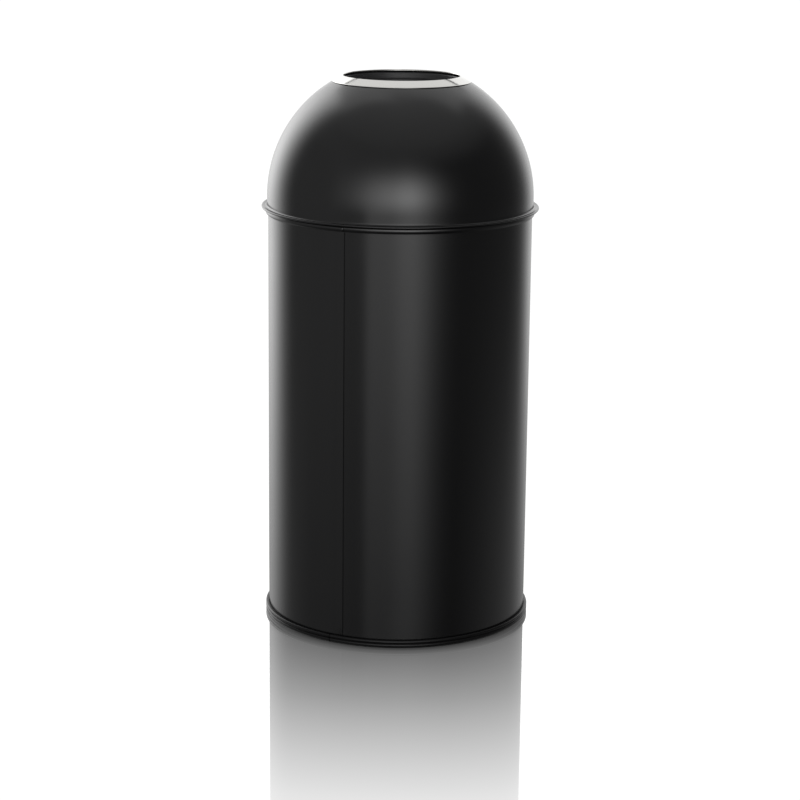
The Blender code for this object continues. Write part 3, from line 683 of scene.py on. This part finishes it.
# ---- liner and its bail ----
def make_liner_wall():
    """The bucket's rolled cylinder, with a rim rolled over a wire, a lap seam at the back, and two swaged
    beads that bulge outwards."""
    middle = LINER_RADIUS - LINER_GAUGE / 2
    roll = LINER_REACH - LINER_RADIUS + LINER_GAUGE
    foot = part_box("liner_wall")[0].z + LINER_GAUGE / 2
    wall = line((middle, foot), (middle, LINER_TOP - roll / 2), 240)
    for height in (foot + 70 * MM, LINER_TOP - 60 * MM):
        wall[:, 0] += PRESSED_RING * np.exp(-(((wall[:, 1] - height) / (4 * MM)) ** 2))
    outline = sheet(joined(wall, rolled_rim(middle, LINER_TOP, roll, roll, LINER_GAUGE)), LINER_GAUGE)
    turns = seam_turns(180.0)
    grid = swept(outline, turns)
    height = outline[:, 1]
    window = np.clip((LINER_TOP - 1.5 * roll - height) / (2 * MM), 0, 1)
    outer = np.gradient(height) > 0
    lift = seam_lift(turns, 180.0)[:, None] * LINER_GAUGE / BODY_GAUGE
    grid = moved_outwards(grid, lift * (window * outer)[None, :])
    surface("bucket_wall", grid, True, True, GALVANISED, "liner", "liner_wall")


def make_liner_base():
    """The bucket's floor: a pan with a turned-up flange inside the wall, and one pressed ring."""
    flange = turned_radius("liner_base") - LINER_GAUGE / 2
    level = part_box("liner_base")[0].z + LINER_GAUGE / 2
    flat = line((0.0, level), (flange - PAN_BEND_RADIUS, level), 120)
    flat[:, 1] += PRESSED_RING * np.exp(-(((flat[:, 0] / flange - 0.72) / 0.03) ** 4))
    bend = arc(flange - PAN_BEND_RADIUS, level + PAN_BEND_RADIUS, PAN_BEND_RADIUS, -90, 0, 8)
    top = line(bend[-1], (flange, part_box("liner_base")[1].z - LINER_GAUGE / 2))
    outline = sheet(joined(flat, bend, top), LINER_GAUGE, open_start=True)
    outline[[0, -1], 0] = 0.0
    turned("bucket_floor", outline, GALVANISED, "liner", "liner_base", solid=True)


def make_ears():
    """The two pivot plates inside the bucket's rim. Seen from the pivot, the edge is a half circle above
    and three sides of a rectangle with rounded corners below."""
    hole, half, drop = WIRE_RADIUS + GAP, 10 * MM, 30 * MM
    turn = np.radians(np.arange(0, 360, 2.5))
    across, down = np.cos(turn), -np.sin(turn)
    square = 1 / ((np.abs(across) / half) ** 14 + (np.abs(down) / drop) ** 14) ** (1 / 14)
    reach = np.where(down > 0, square, half)
    share = np.linspace(0, 1, 9)[:, None]
    radius = hole * (1 - share) + reach[None, :] * share
    for side, name in ((-1, "left"), (1, "right")):
        x = np.full(radius.shape, side * EAR_MIDDLE)
        grid = np.stack([x, radius * across, PIVOT_HEIGHT - radius * down], -1)
        piece = surface("bucket_ear_" + name, grid, False, True, GALVANISED, "liner", "ear_" + name)
        thicken(piece, EAR_GAUGE, 0.3 * MM)


def make_rivets():
    """Four rivets with domed heads, each turned about its own level axis."""
    head, tall = 3.8 * MM, 1.4 * MM
    for side, side_name in ((-1, "left"), (1, "right")):
        for y_name in ("front", "rear"):
            node = f"rivet_{side_name}_{y_name}"
            low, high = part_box(node)
            near, far = sorted((abs(low.x), abs(high.x)))
            dome = (head**2 + tall**2) / (2 * tall)
            edge = np.degrees(np.arctan2(dome - tall, head))
            outline = joined(
                arc(0, near + dome, dome, -90, -edge, 10),
                [(head, near + tall + 0.1 * MM), (RIVET_RADIUS, near + tall + 0.1 * MM)],
                [(RIVET_RADIUS, far - tall - 0.1 * MM), (head, far - tall - 0.1 * MM)],
                arc(0, far - dome, dome, edge, 90, 10),
            )
            outline[[0, -1], 0] = 0.0
            turns = np.arange(40) * 2 * pi / 40
            round_z = swept(outline, turns)
            centre_y, centre_z = (low.y + high.y) / 2, (low.z + high.z) / 2
            x, y, z = side * round_z[..., 2], round_z[..., 0] + centre_y, round_z[..., 1] + centre_z
            grid = np.stack([x, y, z], -1)
            surface("bucket_" + node, grid, True, False, ZINC, "liner", node)


def make_bail_wire():
    """The bail: a half circle of wire in the level plane through the pivots. Each end is bent inwards
    over a small radius, goes through an ear, and is upset into a small head."""
    bend, end = 5 * MM, BAIL_RADIUS - 12 * MM
    start = np.arcsin(bend / BAIL_RADIUS)
    corner = BAIL_RADIUS * cos(start) - bend
    sweep = np.linspace(start, pi - start, 161)
    right = joined(line((end, 0), (corner, 0), 16), arc(corner, -bend, bend, 90, 0, 12))
    left = right[::-1] * [-1, 1]
    path = joined(right, np.stack([BAIL_RADIUS * np.cos(sweep), -BAIL_RADIUS * np.sin(sweep)], 1), left)
    along = np.gradient(path, axis=0)
    along /= np.linalg.norm(along, axis=1)[:, None]
    centres = np.column_stack([path, np.full(len(path), PIVOT_HEIGHT)])
    across = np.column_stack([along[:, 1], -along[:, 0], np.zeros(len(path))])
    up = np.tile([0.0, 0.0, 1.0], (len(path), 1))
    radii = np.full(len(path), WIRE_RADIUS)
    ends = np.array([0.0, 0.0, 3.4, 3.7, 3.4, 2.5]) * MM
    steps = np.array([0.0, 0.0, 0.0, 0.5, 1.0, 1.3]) * MM
    radii[:6], radii[-6:] = ends, ends[::-1]
    centres[:6, 0] = end + steps
    centres[-6:, 0] = -end - steps[::-1]
    surface("bail", tube(centres, across, up, radii), False, True, ZINC, "bail", "bail_wire")


def make_bail_grip():
    """The grip: a tube on the bail's wire. Shallow finger rings run round it, and its ends are rounded."""
    half, outer, bore = 17.0, GRIP_RADIUS, WIRE_RADIUS + 2 * GAP
    length = radians(2 * half) * BAIL_RADIUS
    steps = np.linspace(0, length, 181)
    rings = np.clip(np.minimum(steps, length - steps) / (8 * MM), 0, 1)
    radius = outer - 0.35 * MM * rings * (0.5 - 0.5 * np.cos(2 * pi * steps / (length / 13)))
    close = np.minimum(steps, length - steps)
    round_off = 1.6 * MM
    inside = np.maximum(round_off**2 - (round_off - close) ** 2, 0)
    radius -= np.where(close < round_off, round_off - np.sqrt(inside), 0)
    distance = np.concatenate([steps, [length, 0]])
    radius = np.concatenate([radius, [bore, bore]])
    turn = np.radians(-half) + distance / BAIL_RADIUS
    out = np.stack([np.sin(turn), -np.cos(turn), 0 * turn], 1)
    centres = out * BAIL_RADIUS + [0, 0, PIVOT_HEIGHT]
    up = np.tile([0.0, 0.0, 1.0], (len(turn), 1))
    surface("bail_hand_grip", tube(centres, out, up, radius, 32), True, True, PLASTIC, "bail", "bail_grip")


# ---- studio ----
def calculate(tree, operation, *values):
    return add(tree, "ShaderNodeMath", dict(enumerate(values)), operation=operation).outputs[0]


def profile(tree, value, points):
    """A function of one value that runs straight between the (value, result) pairs of a list."""
    low, high = points[0][0], points[-1][0]
    top = max(result for _, result in points)
    share = ranged(tree, value, 0.0, 1.0, low, high)
    ramp = add(tree, "ShaderNodeValToRGB", {"Fac": share})
    ramp.color_ramp.interpolation = "LINEAR"
    elements = ramp.color_ramp.elements
    while len(elements) < len(points):
        elements.new(0.5)
    for element, (place, result) in zip(elements, points):
        element.position = (place - low) / (high - low)
        element.color = (result / top, result / top, result / top, 1.0)
    return calculate(tree, "MULTIPLY", ramp.outputs["Color"], top)


FLOOR_REACH = 30.0
FLOOR_LEVEL = -0.05 * MM
STRIP_SIDE = (0.2, 0.26)  # the distances to the side between which the polished strip fades out
STRIP_BACK = (0.0, 0.2)  # and those behind the bin's axis
FLOOR_MIRROR = (  # distance from the bin's axis in metres, and the mirror's share there
    (0.0, 0.98),
    (0.183, 0.96),
    (0.208, 0.85),
    (0.29, 0.77),
    (0.376, 0.68),
    (0.543, 0.465),
    (0.689, 0.27),
    (1.0, 0.0),
)


def make_floor():
    """A pale floor, far wider than the view, with a polished strip in front of the bin. The strip's mirror
    reflection is strong at the bin and fades with the distance from it and towards the strip's sides."""
    reach = FLOOR_REACH
    corners = [(-reach, -reach), (reach, -reach), (reach, reach), (-reach, reach)]
    mesh = bpy.data.meshes.new("studio_floor")
    mesh.from_pydata([(x, y, FLOOR_LEVEL) for x, y in corners], [], [(0, 1, 2, 3)])
    floor = bpy.data.objects.new("studio_floor", mesh)
    bpy.context.scene.collection.objects.link(floor)
    material = bpy.data.materials.new("white_gloss_floor")
    material.use_nodes = True
    tree = material.node_tree
    tree.nodes.clear()
    place = add(tree, "ShaderNodeTexCoord").outputs["Object"]
    away = add(tree, "ShaderNodeVectorMath", {0: place}, operation="LENGTH").outputs["Value"]
    x, y, _ = add(tree, "ShaderNodeSeparateXYZ", {0: place}).outputs
    beside = ranged(tree, calculate(tree, "ABSOLUTE", x), 1.0, 0.0, *STRIP_SIDE)
    strip = calculate(tree, "MULTIPLY", beside, ranged(tree, y, 1.0, 0.0, *STRIP_BACK))
    mirror = calculate(tree, "MULTIPLY", profile(tree, away, FLOOR_MIRROR), strip)
    white = add(tree, "ShaderNodeEmission", {"Color": (1, 1, 1, 1), "Strength": WHITE}).outputs[0]
    gloss = add(tree, "ShaderNodeBsdfGlossy", {"Color": (1, 1, 1, 1), "Roughness": 0.03}).outputs[0]
    mixed = add(tree, "ShaderNodeMixShader", {0: mirror, 1: white, 2: gloss}).outputs[0]
    add(tree, "ShaderNodeOutputMaterial", {"Surface": mixed})
    mesh.materials.append(material)
    floor.visible_glossy = False
    floor.visible_diffuse = False


# ---- light: pairs of (degrees, brightness) ----
# Azimuths count from the front towards +X. The sides are dark walls with some fill from the left.
SIDES = (
    (-180, 0.3), (-115, 0.22), (-100, 0.27), (-90, 0.34), (-60, 0.42), (-45, 0.34), (-10, 0.2),
    (20, 0.11), (50, 0.12), (110, 0.13), (130, 0.2), (180, 0.3),
)
SIDES_HEIGHT = (
    (-90, 0.2), (-30, 0.35), (-20, 0.5), (-16, 0.75), (-12, 1.0), (30, 1.0), (46, 0.0), (90, 0.0),
)
# The white walls behind the bin.
BACK = (
    (-180, 0.95), (-166, 1.2), (-150, 2.6), (-140, 2.9), (-130, 2.2), (-121, 0.97), (-113, 0.25),
    (-107, 0.0), (112, 0.0), (122, 0.03), (130, 0.15), (138, 0.6), (146, 1.1), (155, 1.3), (165, 1.0),
    (180, 0.95),
)
BACK_HEIGHT = (
    (-90, 0.1), (-25, 0.12), (-20, 0.2), (-15, 0.36), (-10, 0.66), (-4, 0.85), (5, 1.0), (20, 1.0),
    (30, 0.95), (38, 0.82), (46, 0.8), (56, 0.6), (66, 0.4), (76, 0.2), (90, 0.0),
)
# The key light in front, seen above the level of the bin's rim.
KEY = (
    (-180, 0.0), (-62, 0.0), (-45, 0.12), (-35, 0.26), (-25, 0.5), (-15, 0.7), (-5, 0.85), (2, 1.1),
    (11, 1.12), (21, 0.68), (30, 0.31), (38, 0.12), (48, 0.02), (60, 0.0), (180, 0.0),
)
KEY_HEIGHT = (
    (-90, 0.0), (-10, 0.0), (-5, 1.0), (0, 2.65), (5, 3.6), (10, 3.35), (15, 2.75), (20, 1.9), (27, 0.75),
    (35, 0.15), (44, 0.0), (90, 0.0),
)
# The lower part of the key light, which the body's wall reflects. Its left edge is sharp.
LOW_KEY = (
    (-180, 0.0), (-30, 0.0), (-27, 0.66), (-15, 0.58), (-6, 0.62), (2, 0.95), (12, 1.1), (22, 0.72),
    (30, 0.32), (40, 0.08), (52, 0.0), (180, 0.0),
)
LOW_KEY_HEIGHT = (
    (-90, 0.05), (-25, 0.06), (-20, 0.2), (-17, 0.47), (-14, 0.8), (-11, 1.27), (-8, 1.3), (-3, 0.5),
    (1, 0.0), (90, 0.0),
)
# Light from low down on both sides.
LOW_SIDES = (
    (-180, 0.0), (-140, 0.0), (-120, 0.15), (-105, 0.14), (-85, 0.02), (50, 0.0), (70, 0.1), (90, 0.2),
    (115, 0.27), (135, 0.2), (150, 0.0), (180, 0.0),
)
LOW_SIDES_HEIGHT = (
    (-90, 0.0), (-30, 0.6), (-20, 1.0), (-17, 0.95), (-14, 0.35), (-11, 0.0), (90, 0.0),
)
CEILING = (
    (-90, 0.0), (30, 0.0), (40, 0.26), (50, 0.45), (65, 0.53), (80, 0.6), (90, 0.64),
)
LAMPS = (
    (SIDES, SIDES_HEIGHT),
    (BACK, BACK_HEIGHT),
    (KEY, KEY_HEIGHT),
    (LOW_KEY, LOW_KEY_HEIGHT),
    (LOW_SIDES, LOW_SIDES_HEIGHT),
)
WHITE = 1.06  # brightness of the backdrop and the floor, a little past white
# The soft box overhead. Its edges are given as distances for each metre of height above the bin.
BOX_GLOW = 1.07
BOX_HALF_WIDTH = 0.62
BOX_SIDE_FADE = 0.1
BOX_FRONT = 0.2
BOX_FRONT_FADE = 0.15
BOX_REAR = 1.31
GAP_REAR = 1.43  # where the dark gap behind the box ends
GAP_GLOW = 0.05
EDGE_FADE = 0.01
FAR = 10.0


def band(start, fade, end):
    """The pairs of a profile that is one between two values, and nought before and after them."""
    return ((-FAR, 0.0), (start, 0.0), (start + fade, 1.0), (end, 1.0), (end + EDGE_FADE, 0.0), (FAR, 0.0))


def make_studio():
    """The light: a studio drawn as a function of direction, white to the camera. White walls stand behind
    the bin, darker ones beside it, and a key light in front. A soft box hangs above, with a dark gap
    behind its rear edge that shows in the mouth's ring."""
    world = bpy.data.worlds.new("studio")
    bpy.context.scene.world = world
    world.use_nodes = True
    tree = world.node_tree
    tree.nodes.clear()
    way = add(tree, "ShaderNodeSeparateXYZ", {0: add(tree, "ShaderNodeTexCoord").outputs["Object"]})
    x, y, z = way.outputs
    azimuth = calculate(tree, "ARCTAN2", x, calculate(tree, "MULTIPLY", y, -1.0))
    azimuth = calculate(tree, "MULTIPLY", azimuth, 180 / pi)
    elevation = calculate(tree, "MULTIPLY", calculate(tree, "ARCSINE", z), 180 / pi)
    # What is seen by way of the floor is lit from below the level, as what is seen directly is, so the mirror
    # image is as dark as the bin.
    path = add(tree, "ShaderNodeLightPath")
    by_floor = calculate(tree, "GREATER_THAN", path.outputs["Glossy Depth"], 1.5)
    below = calculate(tree, "MULTIPLY", calculate(tree, "ABSOLUTE", elevation), -1.0)
    elevation = add(tree, "ShaderNodeMix", {0: by_floor, 2: elevation, 3: below}).outputs[0]
    light = profile(tree, elevation, CEILING)
    for around, height in LAMPS:
        lamp = calculate(tree, "MULTIPLY", profile(tree, azimuth, around), profile(tree, elevation, height))
        light = calculate(tree, "ADD", light, lamp)

    up = calculate(tree, "MAXIMUM", z, 0.001)
    beside = calculate(tree, "ABSOLUTE", calculate(tree, "DIVIDE", x, up))
    behind = calculate(tree, "DIVIDE", y, up)
    width = ((0, 1.0), (BOX_HALF_WIDTH, 1.0), (BOX_HALF_WIDTH + BOX_SIDE_FADE, 0.0), (4 * FAR, 0.0))
    width = profile(tree, beside, width)
    box = profile(tree, behind, band(BOX_FRONT, BOX_FRONT_FADE, BOX_REAR))
    gap = profile(tree, behind, band(BOX_REAR, EDGE_FADE, GAP_REAR))
    box = calculate(tree, "MULTIPLY", box, width)
    gap = calculate(tree, "MULTIPLY", gap, width)
    light = add(tree, "ShaderNodeMix", {0: box, 2: light, 3: BOX_GLOW}).outputs[0]
    light = add(tree, "ShaderNodeMix", {0: gap, 2: light, 3: GAP_GLOW}).outputs[0]
    seen = path.outputs["Is Camera Ray"]
    studio = add(tree, "ShaderNodeBackground", {"Color": (1, 1, 1, 1), "Strength": light}).outputs[0]
    white = add(tree, "ShaderNodeBackground", {"Color": (1, 1, 1, 1), "Strength": WHITE}).outputs[0]
    mixed = add(tree, "ShaderNodeMixShader", {0: seen, 1: studio, 2: white}).outputs[0]
    add(tree, "ShaderNodeOutputWorld", {"Surface": mixed})


CAMERA_PLACE = (0.0, -3.1644, 1.0645)
CAMERA_PITCH = 13.59  # degrees below the level
CAMERA_ROLL = 0.0102
CAMERA_LENS = 105.3
CAMERA_SHIFT = 0.0021


def make_camera():
    """Looks a little down at the bin from in front, through a long lens, turned slightly about its axis."""
    camera = bpy.data.cameras.new("camera")
    camera.lens = CAMERA_LENS
    camera.shift_x = CAMERA_SHIFT
    camera.clip_end = 100.0
    stand = bpy.data.objects.new("camera", camera)
    bpy.context.scene.collection.objects.link(stand)
    level = Euler((radians(90 - CAMERA_PITCH), 0.0, 0.0)).to_matrix()
    tilt = Matrix.Rotation(CAMERA_ROLL, 3, "Z")
    stand.matrix_world = Matrix.Translation(CAMERA_PLACE) @ (level @ tilt).to_4x4()
    bpy.context.scene.camera = stand


make_body_shell()
make_rim_wires()
make_base_ring()
make_base_pan()
make_dome()
make_locating_band()
make_trim_ring()
make_throat()
make_stub_grid()
make_grid_pull()
make_pull_nut()
make_liner_wall()
make_liner_base()
make_ears()
make_rivets()
make_bail_wire()
make_bail_grip()
make_floor()
make_studio()
make_camera()
bpy.context.scene.view_settings.view_transform = "Standard"
